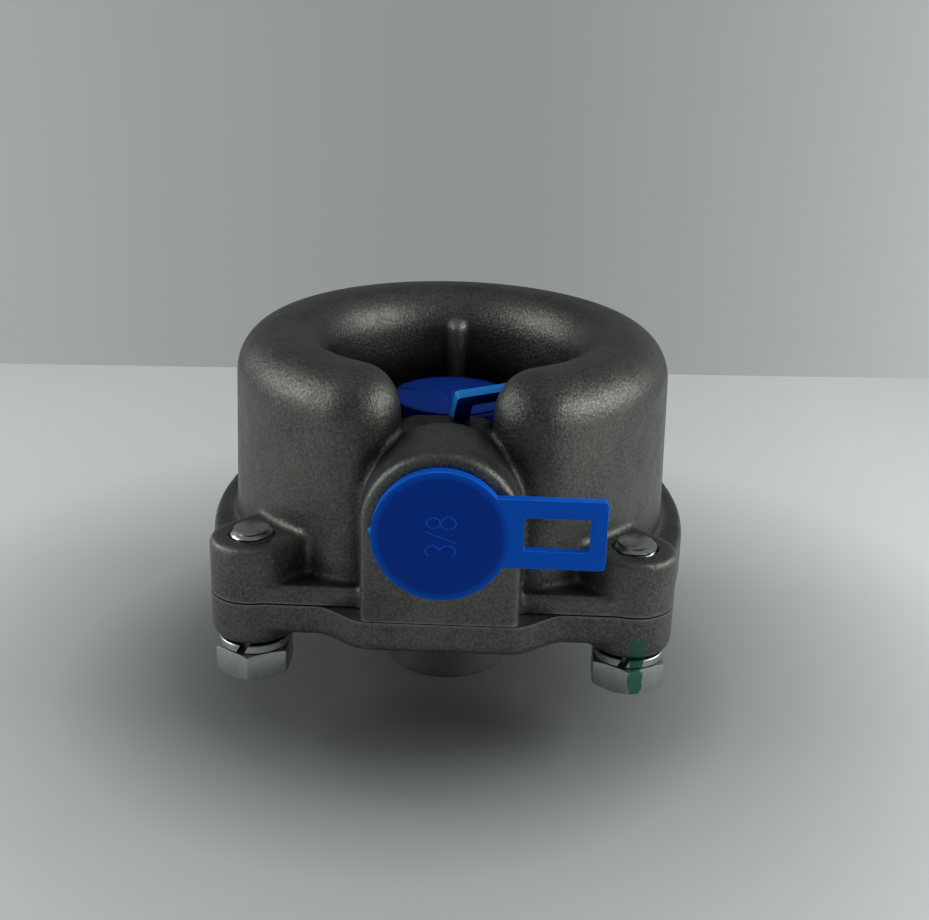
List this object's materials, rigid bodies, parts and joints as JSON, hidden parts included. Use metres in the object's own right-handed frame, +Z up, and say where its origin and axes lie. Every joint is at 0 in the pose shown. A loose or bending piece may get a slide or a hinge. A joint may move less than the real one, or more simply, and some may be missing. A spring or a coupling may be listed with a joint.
{
  "type": "automatic drain valve",
  "caption": "Cast automatic drain valve with a C-shaped sump ring around its port hub, a bolted cover with a drain neck, and blue port plugs with pull tabs.",
  "frame": {"origin": "middle of the footprint, level with the lower end of the drain neck", "axes": "+Z up along the drain valve's axis, -Y towards the front port, +X towards the front plug's pull tab"},
  "size_m": [0.095, 0.0978, 0.0722],
  "materials": {
    "cast_aluminium": "shot-blasted casting",
    "zinc_plate": "bright zinc plate",
    "blue_plastic": "moulded polyethylene",
    "seal_rubber": "matt",
    "brass": "turned",
    "spring_steel": "bright"
  },
  "bodies": {
    "casing": {"upper_housing": "cast_aluminium", "lower_cover": "cast_aluminium", "cover_seal": "seal_rubber", "cover_bolt_1": "zinc_plate", "cover_bolt_2": "zinc_plate", "cover_bolt_3": "zinc_plate", "cover_bolt_4": "zinc_plate", "lock_washer_1": "zinc_plate", "lock_washer_2": "zinc_plate", "lock_washer_3": "zinc_plate", "lock_washer_4": "zinc_plate", "drain_seat": "brass", "return_spring": "spring_steel", "inlet_strainer": "brass", "check_spring": "spring_steel", "check_spring_plate": "spring_steel", "retaining_ring": "spring_steel"},
    "drain_piston": {"control_piston": "brass", "piston_seal": "seal_rubber", "piston_nut": "zinc_plate", "valve_stem": "spring_steel", "drain_disc": "seal_rubber", "drain_disc_nut": "zinc_plate"},
    "inlet_check": {"check_disc": "seal_rubber"},
    "front_plug": {"front_port_plug": "blue_plastic"},
    "top_plug": {"top_port_plug": "blue_plastic"}
  },
  "joints": [
    {"name": "drain_piston_travel", "type": "slide", "parent": "casing", "child": "drain_piston", "axis": [0, 0, -1], "range_m": [0, 0.003], "stiffness_N_per_m": 2700, "deforming": ["return_spring"]},
    {"name": "check_disc_travel", "type": "slide", "parent": "casing", "child": "inlet_check", "axis": [0, 0, -1], "range_m": [0, 0.002], "stiffness_N_per_m": 1000, "deforming": ["check_spring"]},
    {"name": "front_plug_pull", "type": "slide", "parent": "casing", "child": "front_plug", "axis": [0, -1, 0], "range_m": [0, 0.02]},
    {"name": "top_plug_pull", "type": "slide", "parent": "casing", "child": "top_plug", "axis": [0, 0, 1], "range_m": [0, 0.02]}
  ]
}
